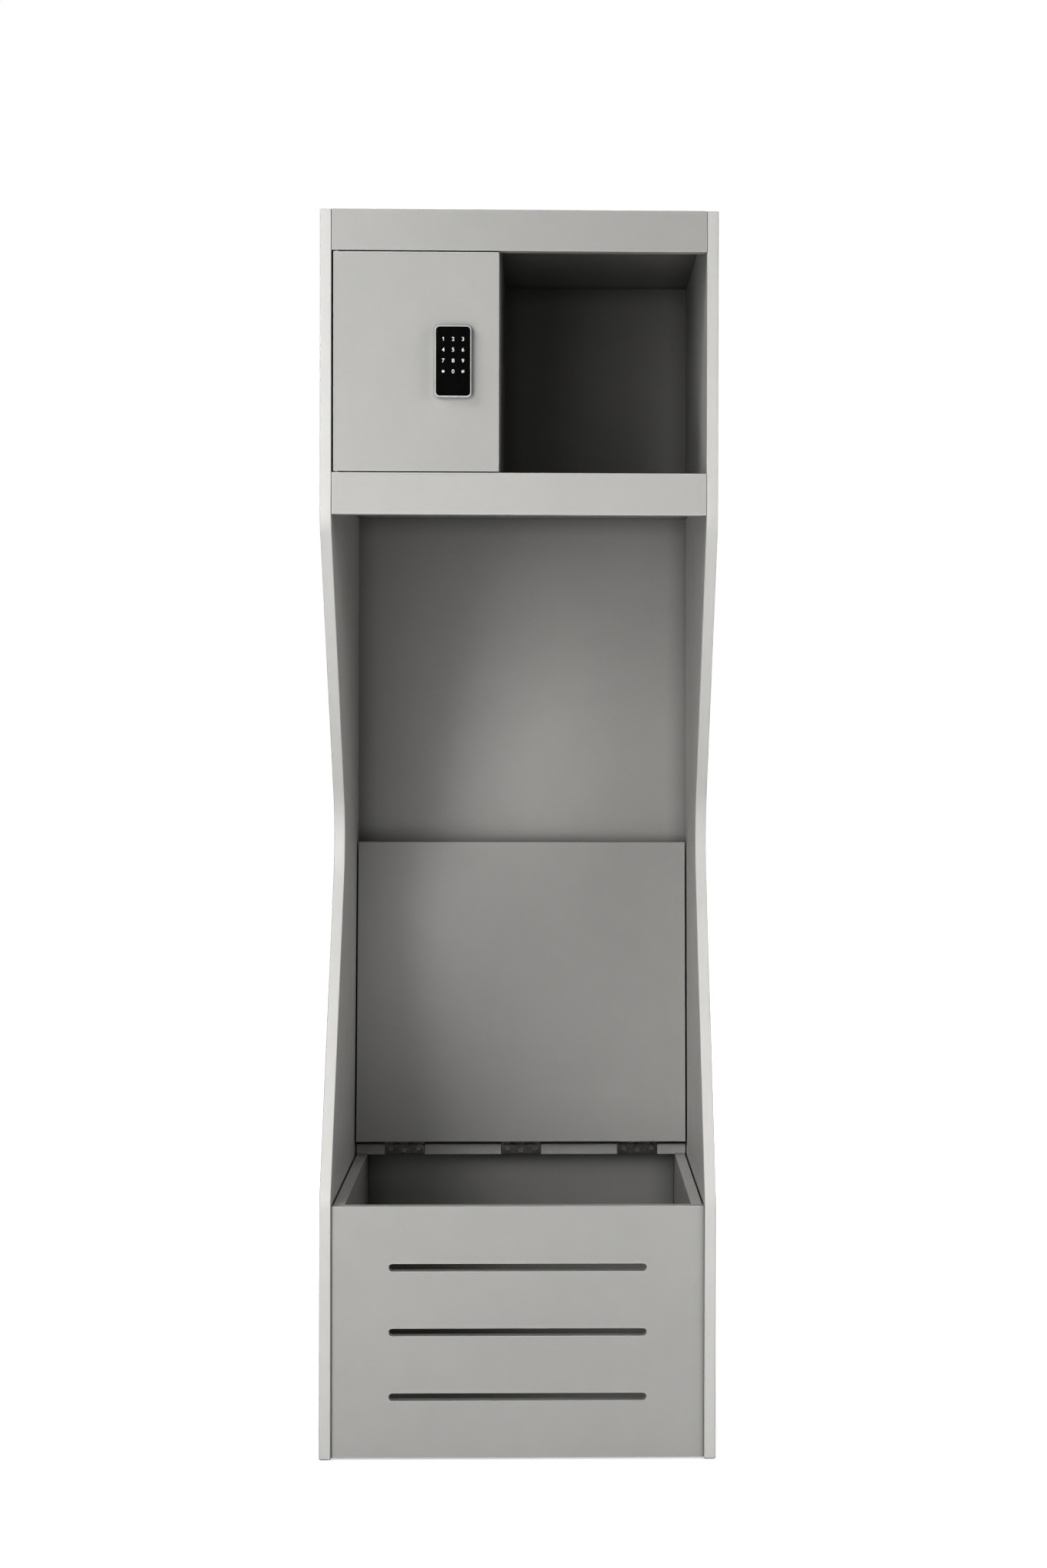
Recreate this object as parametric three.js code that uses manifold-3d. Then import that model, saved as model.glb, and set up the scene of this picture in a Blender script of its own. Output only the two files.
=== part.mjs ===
// A free-standing storage locker in painted board: a keypad-locked cabinet and an open cubby at the
// top, an open hanging bay below them, and a bench box with a hinged seat lid at the bottom.
// Millimetres, +Z up. The locker faces -Y, with its left side at -X. Its origin is at the floor,
// at the centre of its footprint, which takes in the keypad. The pieces are drawn with y = 0 at
// the front edge of the side panels, and the whole group is then moved by FRONT.
import * as THREE from "three";
import { mergeVertices } from "three/addons/utils/BufferGeometryUtils.js";
import Module from "manifold-3d";

const wasm = await Module();
wasm.setup();

// ---------------------------------------------------------------- driving dimensions
// Names ending in _X, _Y or _Z are places on that axis; a pair is a [low, high] range.
const WIDTH = 610; // over the side panels
const DEPTH = 610; // front edge of the side panels to the back
const HEIGHT = 1918;
const BOARD = 18; // thickness of the painted boards
const BACK = 6; // thickness of the back panel
const REBATE = 6; // how far the back panel is let into each side panel
const INSIDE = WIDTH / 2 - BOARD; // half of the clear width between the side panels
const BACK_Y = DEPTH - BACK; // front face of the back panel
const KEYPAD_PROUD = 11; // how far the keypad stands in front of the door
const FRONT = KEYPAD_PROUD - (DEPTH + KEYPAD_PROUD) / 2;

// shared by the hardware
const OVER = 1; // how far a cutter runs past the face it opens
const FIT = 0.1; // play around a part let into a board
const PIN_R = 1.5;
const BORE_R = 1.56; // bore that a pin turns in

// hourglass front edge of the side panels
const WAIST_Z = 952.3; // height where the two slopes would meet
const WAIST_Y = 309.3; // depth where the two slopes would meet
const WAIST_R = 136;
const SLOPE_TOP_Z = 1436.6; // where the upper slope leaves the front plane
const SLOPE_BOTTOM_Z = 400; // where the lower slope leaves the front plane
const SLOPE_R = 60;

// cabinet and cubby
const TOP_RAIL_Z = 1855; // underside of the top rail
const TOP_BOARD = 15;
const CABINET_FLOOR = 17.5; // thickness
const FLOOR_Z = 1516; // top of the cabinet floor and of the middle rail
const MIDDLE_RAIL_Z = 1452; // underside of the middle rail
const DIVIDER_X = [-49, -31];
const DIVIDER_Y = BOARD + 1.5; // front edge

// cabinet door
const GAP_ABOVE = 2;
const GAP_BELOW = 1.8;
const DOOR_X = [-284.5, -31.5];
const DOOR_Z = [FLOOR_Z + GAP_BELOW, TOP_RAIL_Z - GAP_ABOVE];

// pivot hinges of the door: flat blades, let into the rails and the door
const PIVOT_X = DOOR_X[0] + 4.5;
const PIVOT_Y = 4.5;
const PIVOT_END_R = 3.2;
const BLADE = 2; // thickness
const BLADE_ARM = 44; // from the pivot to the centre of the round far end
const BLADE_HALF = 4.7; // half of the arm's width
const BLADE_Y = PIVOT_Y + 2.3; // centre line of the arm
const BLADE_SCREW_X = [PIVOT_X + 16, PIVOT_X + 36];

// keypad lock
const KEYPAD_X = -101.1;
const KEYPAD_Z = 1684.7;
const KEYPAD_W = 54.4;
const KEYPAD_H = 108.6;
const BEZEL_DRAFT = 1.3; // how much wider the bezel is at the door, on each side
const NOTCH_X = KEYPAD_X + 9.9; // notch in the lower lip of the bezel
const UPPER_BORE = [KEYPAD_X - 6, KEYPAD_Z + 30]; // x, z of the bore from keypad to rear case
const LOCK_SCREW_X = KEYPAD_X + 19;
const LOCK_SCREW_Z = [KEYPAD_Z - 44.5, KEYPAD_Z + 44.5];
const CASE_X = [KEYPAD_X - 29, KEYPAD_X + 28];
const CASE_Z = [KEYPAD_Z - 60, KEYPAD_Z + 60];
const CASE_Y = [BOARD + 0.1, 44];
const CASE_WALL = 2;

// latch, drawn with the bolt withdrawn
const BOLT_X = [-104, -54];
const BOLT_Y = [34, 41.5];
const BOLT_Z = [KEYPAD_Z - 8, KEYPAD_Z + 8];
const BOLT_CHAMFER = 1.5;
const CRANK_X = -90;
const CRANK_Z = KEYPAD_Z - 4;
const CRANK_THROW = 6.5; // from the crank's axis to its pin
const CRANK_ANGLE = (50 * Math.PI) / 180; // the pin's lean to the left of straight up
const CRANK_PIN_X = CRANK_X - CRANK_THROW * Math.sin(CRANK_ANGLE);
const CRANK_PIN_Z = CRANK_Z + CRANK_THROW * Math.cos(CRANK_ANGLE);

// strike, let into the left face of the divider
const STRIKE_X = DIVIDER_X[0];
const STRIKE_Y = [24, 52];
const STRIKE_Z = [KEYPAD_Z - 32, KEYPAD_Z + 32];
const STRIKE = 2; // thickness
const STRIKE_SCREW_Y = (BOLT_Y[0] + BOLT_Y[1]) / 2;
const STRIKE_SCREW_Z = [KEYPAD_Z - 22, KEYPAD_Z + 22];
const STRIKE_HOLE_R = 1.6;

// bench
const RIM_Z = 389.6; // top of the bench box
const SEAT_Z = 408; // top of the closed lid
const BENCH_FRONT_Y = 5;
const BENCH_HALF = 285; // half of the outside width of the bench box
const BENCH_BACK_Y = 561;
const SLOT_Z = [295, 195.2, 95.4];
const SLOT_HALF = 198.5; // half of a slot's length
const SLOT_H = 11.6;
const RAIL_Y = 526; // front face of the hinge rail
const RAIL_Z = [RIM_Z, RIM_Z + BOARD];
const RAIL_HALF = 285.4;

// lid, in the closed lid's position about the hinge pin axis
const PIN_OUT = 1.5; // from the pin axis to the rail's face and to the lid's rear edge
const PIN_UP = 2.5; // from the seat up to the pin axis
const PIN_Y = RAIL_Y - PIN_OUT;
const PIN_Z = SEAT_Z + PIN_UP;
const LID_HALF = 284.5;
const LID_LENGTH = 519.5;
const LID_Y = [-PIN_OUT - LID_LENGTH, -PIN_OUT];
const LID_Z = [-PIN_UP - BOARD, -PIN_UP];
const LID_OPEN = (95.7 * Math.PI) / 180; // from closed to the resting, open position
const EDGE_R = 2.5; // rounding of the rail's and the lid's upper edges
const LID_LOWER_R = 1.5;

// lid hinges
const BARREL_R = 3.2;
const LEAF = 1.8; // thickness
const LEAF_TOP = -BARREL_R - 0.35; // top of both leaf plates, from the pin axis
const LEAF_CLEAR = 0.3; // left below each leaf and around the lid leaf
const LEAF_PROUD = 0.6; // how far the lid leaf stands out of the lid's rear edge
const LID_WEB = 1.6; // board left between the lid leaf's mortise and the lid's underside
const LID_LEAF_Y = [LID_Y[1] - LEAF + LEAF_PROUD, LID_Y[1] + LEAF_PROUD];
const NECK_SHIFT = 0.1; // how far the knuckle necks are set off the plate, toward the gap
const HINGE_HALF = 34; // half of a hinge's length
const KNUCKLE_COUNT = 5;
const KNUCKLE_GAP = 0.5;
const KNUCKLE = (2 * HINGE_HALF - (KNUCKLE_COUNT - 1) * KNUCKLE_GAP) / KNUCKLE_COUNT;
// railKnuckles belong to the rail leaf, the others to the lid leaf;
// mortiseGap is the play to the left and right of the rail leaf
const HINGES = [
  { side: "left", x: -202, railKnuckles: [1, 3], mortiseGap: [0.3, 1.3] },
  { side: "centre", x: 0, railKnuckles: [1, 3], mortiseGap: [1, 0.8] },
  { side: "right", x: 202, railKnuckles: [0, 2, 4], mortiseGap: [1.5, 0.3] },
];
// screws: x from the middle of the hinge, then z
const SCREW_STEP = 24;
const RAIL_SCREWS = [
  [-SCREW_STEP, 400.3],
  [0, 396.9],
  [SCREW_STEP, 400.3],
];
const LID_LEAF_HOLES = [
  [-SCREW_STEP, -9.6],
  [0, -13],
  [SCREW_STEP, -9.6],
];

// ---------------------------------------------------------------- materials
const standard = (options) => new THREE.MeshStandardMaterial(options);
const GREY = standard({ color: 0xc3c2bd, roughness: 0.55, metalness: 0 });
const GREY_SHADE = standard({ color: 0xb7b6b1, roughness: 0.55, metalness: 0 });
const BRONZE = standard({ color: 0x4a4541, roughness: 0.38, metalness: 0.9 });
const STEEL = standard({ color: 0xb9bbbd, roughness: 0.32, metalness: 1 });
const SILVER = standard({ color: 0xcfcfcd, roughness: 0.35, metalness: 0.8 });
const GLASS_BLACK = standard({ color: 0x0b0b0c, roughness: 0.12, metalness: 0 });
const CASE_BLACK = standard({ color: 0x1b1b1d, roughness: 0.5, metalness: 0 });
const BOARD_GREEN = standard({ color: 0x1f5a36, roughness: 0.6, metalness: 0 });
const CELL = standard({ color: 0x6f7479, roughness: 0.4, metalness: 0.5 });

// ---------------------------------------------------------------- geometry helpers
// ranges
const around = (middle, half) => [middle - half, middle + half];
const widen = ([low, high], by) => [low - by, high + by];

// welds the vertices and drops collapsed triangles, as a solid needs a closed mesh
function toSolid(geometry) {
  const loose = geometry.index ? geometry.toNonIndexed() : geometry.clone();
  loose.deleteAttribute("normal");
  loose.deleteAttribute("uv");
  const merged = mergeVertices(loose, 1e-4);
  const index = merged.index.array;
  const kept = [];
  for (let i = 0; i < index.length; i += 3) {
    const [a, b, c] = [index[i], index[i + 1], index[i + 2]];
    if (a !== b && b !== c && a !== c) kept.push(a, b, c);
  }
  return new wasm.Manifold(
    new wasm.Mesh({
      numProp: 3,
      vertProperties: merged.attributes.position.array,
      triVerts: new Uint32Array(kept),
    }),
  );
}

function toGeometry(solid) {
  const { numVert, numProp, vertProperties, triVerts } = solid.getMesh();
  const positions = new Float32Array(numVert * 3);
  for (let i = 0; i < numVert; i++)
    positions.set(vertProperties.subarray(i * numProp, i * numProp + 3), i * 3);
  const geometry = new THREE.BufferGeometry()
    .setAttribute("position", new THREE.BufferAttribute(positions, 3))
    .setIndex(new THREE.BufferAttribute(new Uint32Array(triVerts), 1))
    .toNonIndexed();
  geometry.computeVertexNormals();
  return geometry;
}

const join = (...solids) => solids.reduce((a, b) => a.add(b));
const cut = (solid, ...tools) => tools.reduce((a, b) => a.subtract(b), solid);

// box over three ranges
function box([x0, x1], [y0, y1], [z0, z1]) {
  return toSolid(
    new THREE.BoxGeometry(x1 - x0, y1 - y0, z1 - z0).translate(
      (x0 + x1) / 2,
      (y0 + y1) / 2,
      (z0 + z1) / 2,
    ),
  );
}

// round bar over a range of one axis; p and q are its other two coordinates, in x, y, z order
function rod(axis, radius, [from, to], p, q, segments = 20) {
  const middle = (from + to) / 2;
  const geometry = new THREE.CylinderGeometry(radius, radius, to - from, segments);
  if (axis === "x") geometry.rotateZ(-Math.PI / 2).translate(middle, p, q);
  if (axis === "y") geometry.translate(p, middle, q);
  if (axis === "z") geometry.rotateX(Math.PI / 2).translate(p, q, middle);
  return toSolid(geometry);
}

// turned piece about an axis parallel to y through x, z; [radius, y] pairs, with y rising
function turned(profile, x, z) {
  const points = profile.map(([radius, y]) => new THREE.Vector2(radius, y));
  return toSolid(new THREE.LatheGeometry(points, 16).translate(x, 0, z));
}

function extrude(profile, depth) {
  const shape = new THREE.Shape(profile.map(([u, v]) => new THREE.Vector2(u, v)));
  return new THREE.ExtrudeGeometry(shape, { depth, bevelEnabled: false });
}

// prism along x of [y, z] pairs
function prismX(profile, [x0, x1]) {
  const toX = new THREE.Matrix4().set(0, 0, 1, x0, 1, 0, 0, 0, 0, 1, 0, 0, 0, 0, 0, 1);
  return toSolid(extrude(profile, x1 - x0).applyMatrix4(toX));
}

// prism along z of [x, y] pairs
function prismZ(profile, [z0, z1]) {
  return toSolid(extrude(profile, z1 - z0).translate(0, 0, z0));
}

// plate in the x-z plane with round corners, its outline growing by draft on each side
// from its low y to its high y
function roundedPlate([x0, x1], [z0, z1], [y0, y1], radius, { segments = 6, draft = 0 } = {}) {
  const shape = new THREE.Shape();
  shape.moveTo(x0 + radius, z0);
  shape.lineTo(x1 - radius, z0);
  shape.absarc(x1 - radius, z0 + radius, radius, -Math.PI / 2, 0, false);
  shape.lineTo(x1, z1 - radius);
  shape.absarc(x1 - radius, z1 - radius, radius, 0, Math.PI / 2, false);
  shape.lineTo(x0 + radius, z1);
  shape.absarc(x0 + radius, z1 - radius, radius, Math.PI / 2, Math.PI, false);
  shape.lineTo(x0, z0 + radius);
  shape.absarc(x0 + radius, z0 + radius, radius, Math.PI, 1.5 * Math.PI, false);
  const geometry = new THREE.ExtrudeGeometry(shape, {
    depth: y1 - y0,
    bevelEnabled: false,
    curveSegments: segments,
  });
  // (u, v, w) -> (u, y1 - w, v)
  geometry.applyMatrix4(
    new THREE.Matrix4().set(1, 0, 0, 0, 0, 0, -1, y1, 0, 1, 0, 0, 0, 0, 0, 1),
  );
  if (draft) {
    const position = geometry.getAttribute("position");
    const [midX, midZ] = [(x0 + x1) / 2, (z0 + z1) / 2];
    for (let i = 0; i < position.count; i++) {
      const growth = (2 * draft * (position.getY(i) - y0)) / (y1 - y0);
      position.setX(i, midX + (position.getX(i) - midX) * (1 + growth / (x1 - x0)));
      position.setZ(i, midZ + (position.getZ(i) - midZ) * (1 + growth / (z1 - z0)));
    }
  }
  return toSolid(geometry);
}

// closed outline of [y, z, radius] corners; those with a radius become arcs whose
// segments turn by at most step radians
function rounded(corners, step) {
  const outline = [];
  const count = corners.length;
  corners.forEach(([y, z, radius], i) => {
    if (!radius) return outline.push([y, z]);
    const [lastY, lastZ] = corners[(i + count - 1) % count];
    const [nextY, nextZ] = corners[(i + 1) % count];
    const back = new THREE.Vector2(lastY - y, lastZ - z).normalize();
    const ahead = new THREE.Vector2(nextY - y, nextZ - z).normalize();
    const half = Math.acos(THREE.MathUtils.clamp(back.dot(ahead), -1, 1)) / 2;
    const tangent = radius / Math.tan(half); // from the corner to where the arc begins
    const middle = back.clone().add(ahead).normalize();
    const centreY = y + (middle.x * radius) / Math.sin(half);
    const centreZ = z + (middle.y * radius) / Math.sin(half);
    const angleAt = (way) =>
      Math.atan2(z + way.y * tangent - centreZ, y + way.x * tangent - centreY);
    const from = angleAt(back);
    let turn = angleAt(ahead) - from;
    if (turn > Math.PI) turn -= 2 * Math.PI;
    if (turn < -Math.PI) turn += 2 * Math.PI;
    const steps = Math.max(3, Math.ceil(Math.abs(turn) / step));
    for (let k = 0; k <= steps; k++) {
      const angle = from + (turn * k) / steps;
      outline.push([centreY + radius * Math.cos(angle), centreZ + radius * Math.sin(angle)]);
    }
  });
  return outline;
}

// the two boxes that cut a cross recess into a screw head facing along y
const crossRecess = (x, z, ys, long, narrow) => [
  box(around(x, long), ys, around(z, narrow)),
  box(around(x, narrow), ys, around(z, long)),
];

function add(parent, name, solid, material) {
  const mesh = new THREE.Mesh(toGeometry(solid), material);
  mesh.name = name;
  parent.add(mesh);
}

// ---------------------------------------------------------------- the scene graph
const group = new THREE.Group();
const carcass = new THREE.Group();
const bench = new THREE.Group();
const lid = new THREE.Group(); // its origin is on the hinge pin axis
const door = new THREE.Group(); // drawn closed, in the locker's place
group.add(carcass, bench, lid, door);
group.position.y = FRONT;
lid.position.set(0, PIN_Y, PIN_Z);
lid.rotation.x = -LID_OPEN;

// ---------------------------------------------------------------- side and back panels
const sideProfile = rounded(
  [
    [0, 0],
    [0, SLOPE_BOTTOM_Z, SLOPE_R],
    [WAIST_Y, WAIST_Z, WAIST_R],
    [0, SLOPE_TOP_Z, SLOPE_R],
    [0, HEIGHT],
    [DEPTH, HEIGHT],
    [DEPTH, 0],
  ],
  0.055,
);
function sidePanel(name, panelX, rebateX) {
  const rebate = box(rebateX, [BACK_Y, DEPTH + OVER], [-OVER, HEIGHT + OVER]);
  add(carcass, name, cut(prismX(sideProfile, panelX), rebate), GREY);
}
sidePanel("left_side_panel", [-WIDTH / 2, -INSIDE], [-INSIDE - REBATE, -INSIDE + OVER]);
sidePanel("right_side_panel", [INSIDE, WIDTH / 2], [INSIDE - OVER, INSIDE + REBATE]);
add(
  carcass,
  "back_panel",
  box(around(0, INSIDE + REBATE - 0.2), [BACK_Y, DEPTH], [0, HEIGHT]),
  GREY_SHADE,
);

// ---------------------------------------------------------------- cabinet and cubby
// outline of one door hinge blade over a range of z, grown by extra for its mortise
function blade(zs, extra = 0) {
  return join(
    rod("z", PIVOT_END_R + extra, zs, PIVOT_X, PIVOT_Y),
    box([PIVOT_X, PIVOT_X + BLADE_ARM], around(BLADE_Y, BLADE_HALF + extra), zs),
    rod("z", BLADE_HALF + extra, zs, PIVOT_X + BLADE_ARM, BLADE_Y, 16),
  );
}

const betweenSides = around(0, INSIDE);
const behindRails = [BOARD, BACK_Y];
add(
  carcass,
  "top_panel",
  box(betweenSides, behindRails, [HEIGHT - TOP_BOARD, HEIGHT]),
  GREY_SHADE,
);
add(
  carcass,
  "top_rail",
  cut(
    box(betweenSides, [0, BOARD], [TOP_RAIL_Z, HEIGHT]),
    blade([TOP_RAIL_Z - OVER, TOP_RAIL_Z + BLADE + FIT], FIT),
  ),
  GREY,
);
add(
  carcass,
  "cabinet_floor",
  box(betweenSides, behindRails, [FLOOR_Z - CABINET_FLOOR, FLOOR_Z]),
  GREY_SHADE,
);
add(
  carcass,
  "middle_rail",
  cut(
    box(betweenSides, [0, BOARD], [MIDDLE_RAIL_Z, FLOOR_Z]),
    blade([FLOOR_Z - BLADE - FIT, FLOOR_Z + OVER], FIT),
  ),
  GREY,
);

// ---------------------------------------------------------------- divider and strike
const strikeHole = (xs, z) => rod("x", STRIKE_HOLE_R, xs, STRIKE_SCREW_Y, z, 16);
const throughStrike = [STRIKE_X - OVER, STRIKE_X + STRIKE + OVER];
add(
  carcass,
  "divider_panel",
  cut(
    box(DIVIDER_X, [DIVIDER_Y, BACK_Y], [FLOOR_Z, HEIGHT - TOP_BOARD]),
    // mortise for the strike plate
    box([STRIKE_X - OVER, STRIKE_X + STRIKE + FIT], widen(STRIKE_Y, FIT), widen(STRIKE_Z, FIT)),
    // pocket for the bolt
    box([STRIKE_X - OVER, STRIKE_X + 9], widen(BOLT_Y, 1), widen(BOLT_Z, 1)),
    ...STRIKE_SCREW_Z.map((z) => strikeHole([STRIKE_X, STRIKE_X + 13], z)),
  ),
  GREY_SHADE,
);

// countersunk screw head that narrows toward +x
const strikeScrewHead = (x, z, grow) =>
  toSolid(
    new THREE.CylinderGeometry(1.5 + grow, 3 + grow, 1.5, 20)
      .rotateZ(-Math.PI / 2)
      .translate(x + 0.75, STRIKE_SCREW_Y, z),
  );
add(
  carcass,
  "strike_plate",
  cut(
    box([STRIKE_X, STRIKE_X + STRIKE], STRIKE_Y, STRIKE_Z),
    box(throughStrike, widen(BOLT_Y, 0.8), widen(BOLT_Z, 0.8)),
    ...STRIKE_SCREW_Z.flatMap((z) => [
      strikeScrewHead(STRIKE_X - 0.01, z, 0.2),
      strikeHole(throughStrike, z),
    ]),
  ),
  STEEL,
);

function strikeScrew(name, z) {
  const recessX = around(STRIKE_X, 1);
  add(
    carcass,
    name,
    cut(
      join(
        strikeScrewHead(STRIKE_X + 0.05, z, 0),
        rod("x", 1.45, [STRIKE_X + 1, STRIKE_X + 12], STRIKE_SCREW_Y, z, 16),
      ),
      box(recessX, around(STRIKE_SCREW_Y, 1.6), around(z, 0.3)),
      box(recessX, around(STRIKE_SCREW_Y, 0.3), around(z, 1.6)),
    ),
    STEEL,
  );
}
strikeScrew("strike_screw_lower", STRIKE_SCREW_Z[0]);
strikeScrew("strike_screw_upper", STRIKE_SCREW_Z[1]);

// ---------------------------------------------------------------- pivot hinges of the door
// Frame blade and washer stay on the locker; the door blade carries the pin.
// face is the rail's face, gap the space between it and the door, and up is 1 where
// the rail is above the door and -1 where it is below.
function doorHinge(where, face, gap, up) {
  // range of z from two distances into the rail; negative ones are toward the door
  const into = (near, far) => (up > 0 ? [face + near, face + far] : [face - far, face - near]);
  const screwHoles = (zs) => BLADE_SCREW_X.map((x) => rod("z", 1.6, zs, x, BLADE_Y, 12));
  const throughFrame = into(-OVER, BLADE + OVER);
  add(
    carcass,
    `door_hinge_${where}_frame_blade`,
    cut(
      blade(into(0, BLADE)),
      rod("z", BORE_R, throughFrame, PIVOT_X, PIVOT_Y),
      ...screwHoles(throughFrame),
    ),
    STEEL,
  );
  add(
    carcass,
    `door_hinge_${where}_washer`,
    cut(
      rod("z", 3, into(-gap + 0.15, -0.15), PIVOT_X, PIVOT_Y),
      rod("z", BORE_R, into(-gap - OVER, OVER), PIVOT_X, PIVOT_Y),
    ),
    STEEL,
  );
  add(
    door,
    `door_hinge_${where}_door_blade`,
    join(
      cut(
        blade(into(-gap - BLADE, -gap)),
        ...screwHoles(into(-gap - BLADE - OVER, -gap + OVER)),
      ),
      rod("z", PIN_R, into(-gap - 0.5, BLADE - 0.2), PIVOT_X, PIVOT_Y),
    ),
    STEEL,
  );
}
doorHinge("upper", TOP_RAIL_Z, GAP_ABOVE, 1);
doorHinge("lower", FLOOR_Z, GAP_BELOW, -1);

// ---------------------------------------------------------------- cabinet door
const upperBore = (radius, ys, segments) => rod("y", radius, ys, ...UPPER_BORE, segments);
const lockScrewHoles = (radius, ys) =>
  LOCK_SCREW_Z.map((z) => rod("y", radius, ys, LOCK_SCREW_X, z, 16));
const throughDoor = [-OVER, BOARD + OVER];
add(
  door,
  "cabinet_door",
  cut(
    box(DOOR_X, [0, BOARD], DOOR_Z),
    blade([DOOR_Z[1] - BLADE - FIT, DOOR_Z[1] + OVER], FIT),
    blade([DOOR_Z[0] - OVER, DOOR_Z[0] + BLADE + FIT], FIT),
    upperBore(5, throughDoor),
    ...lockScrewHoles(2.4, throughDoor),
  ),
  GREY,
);

// ---------------------------------------------------------------- keypad, on the door's front
const keypadX = around(KEYPAD_X, KEYPAD_W / 2);
const keypadZ = around(KEYPAD_Z, KEYPAD_H / 2);
const faceY = -KEYPAD_PROUD;
// plate set in from the keypad's outline
const keypadPlate = (insetX, insetZ, ys, radius, segments) =>
  roundedPlate(widen(keypadX, -insetX), widen(keypadZ, -insetZ), ys, radius, { segments });
add(
  door,
  "keypad_bezel",
  cut(
    roundedPlate(keypadX, keypadZ, [faceY, -0.1], 7, { segments: 7, draft: BEZEL_DRAFT }),
    // seat of the touch panel, then the deeper pocket for the circuit board
    keypadPlate(1, 1.6, [faceY - OVER, faceY + 2.2], 6),
    keypadPlate(3.5, 4, [faceY - OVER, -5], 4, 4),
    upperBore(4.5, [-6, 1]),
    // notch for lifting the touch panel
    rod("y", 1.3, [faceY - OVER, faceY + 1.2], NOTCH_X, keypadZ[0] + 0.1, 16),
    ...lockScrewHoles(2.15, [-4.6, 1]),
  ),
  SILVER,
);
add(
  door,
  "keypad_touch_panel",
  keypadPlate(1.1, 1.7, [faceY + 0.3, faceY + 2.1], 5.9),
  GLASS_BLACK,
);
add(
  door,
  "keypad_circuit_board",
  cut(keypadPlate(4.5, 5, [-7.6, -6], 3, 3), upperBore(2, [-9, -5], 12)),
  BOARD_GREEN,
);

// ---------------------------------------------------------------- rear case of the lock
const caseFloorY = [CASE_Y[0] - OVER, CASE_Y[0] + CASE_WALL + OVER];
const casePlate = (inset, ys, radius) =>
  roundedPlate(widen(CASE_X, -inset), widen(CASE_Z, -inset), ys, radius);
add(
  door,
  "lock_rear_case",
  cut(
    casePlate(0, CASE_Y, 6),
    casePlate(CASE_WALL, [CASE_Y[0] + CASE_WALL, CASE_Y[1] + OVER], 4.5),
    // opening for the bolt
    box([CASE_X[1] - 3, CASE_X[1] + OVER], widen(BOLT_Y, 0.4), widen(BOLT_Z, 0.4)),
    upperBore(4, caseFloorY),
    ...lockScrewHoles(2.4, caseFloorY),
  ),
  CASE_BLACK,
);

// finger groove that slides the cover off, its top edge given as a drop from the case's top
const coverGroove = (drop) =>
  box([KEYPAD_X - 10, KEYPAD_X + 9], [43.2, 45], [CASE_Z[1] - drop - 2, CASE_Z[1] - drop]);
add(
  door,
  "battery_cover",
  cut(casePlate(2.2, [42, 44], 4.3), coverGroove(10), coverGroove(14)),
  CASE_BLACK,
);

// upright cell with its terminal on top
function battery(name, z) {
  const x = CASE_X[0] + CASE_WALL + 8.3;
  const y = 30;
  add(
    door,
    name,
    join(rod("z", 7.1, [z, z + 48.6], x, y), rod("z", 2.6, [z + 48, z + 50], x, y, 12)),
    CELL,
  );
}
battery("battery_lower", KEYPAD_Z - 51.5);
battery("battery_upper", KEYPAD_Z + 1.5);

// screw from the rear case through the door into the bezel
function lockScrew(name, z) {
  const headY = CASE_Y[0] + 2.1;
  const profile = [
    [0, -4.3],
    [2, -4.3],
    [2, headY],
    [3.6, headY],
    [3.6, headY + 1.2],
    [2.6, headY + 2.3],
    [0, headY + 2.3],
  ];
  const recess = crossRecess(LOCK_SCREW_X, z, [headY + 1.1, 24], 1.8, 0.35);
  add(door, name, cut(turned(profile, LOCK_SCREW_X, z), ...recess), STEEL);
}
lockScrew("lock_screw_lower", LOCK_SCREW_Z[0]);
lockScrew("lock_screw_upper", LOCK_SCREW_Z[1]);

// ---------------------------------------------------------------- latch
add(
  door,
  "latch_motor",
  join(
    rod("y", 8, [CASE_Y[0] + 2.2, 31], CRANK_X, CRANK_Z, 28),
    rod("y", PIN_R, [30, 33.1], CRANK_X, CRANK_Z),
  ),
  STEEL,
);
add(
  door,
  "latch_crank",
  join(
    cut(
      rod("y", 9, [31.3, 33.3], CRANK_X, CRANK_Z, 32),
      rod("y", BORE_R, [30, 35], CRANK_X, CRANK_Z),
    ),
    rod("y", PIN_R, [33, 40], CRANK_PIN_X, CRANK_PIN_Z),
  ),
  STEEL,
);
add(
  door,
  "latch_bolt",
  cut(
    prismZ(
      [
        [BOLT_X[0], BOLT_Y[0]],
        [BOLT_X[1] - BOLT_CHAMFER, BOLT_Y[0]],
        [BOLT_X[1], BOLT_Y[0] + BOLT_CHAMFER],
        [BOLT_X[1], BOLT_Y[1] - BOLT_CHAMFER],
        [BOLT_X[1] - BOLT_CHAMFER, BOLT_Y[1]],
        [BOLT_X[0], BOLT_Y[1]],
      ],
      BOLT_Z,
    ),
    // yoke slot for the crank pin
    box(around(CRANK_PIN_X, 1.95), widen(BOLT_Y, OVER), [KEYPAD_Z - 2, KEYPAD_Z + 4.6]),
  ),
  STEEL,
);

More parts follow.
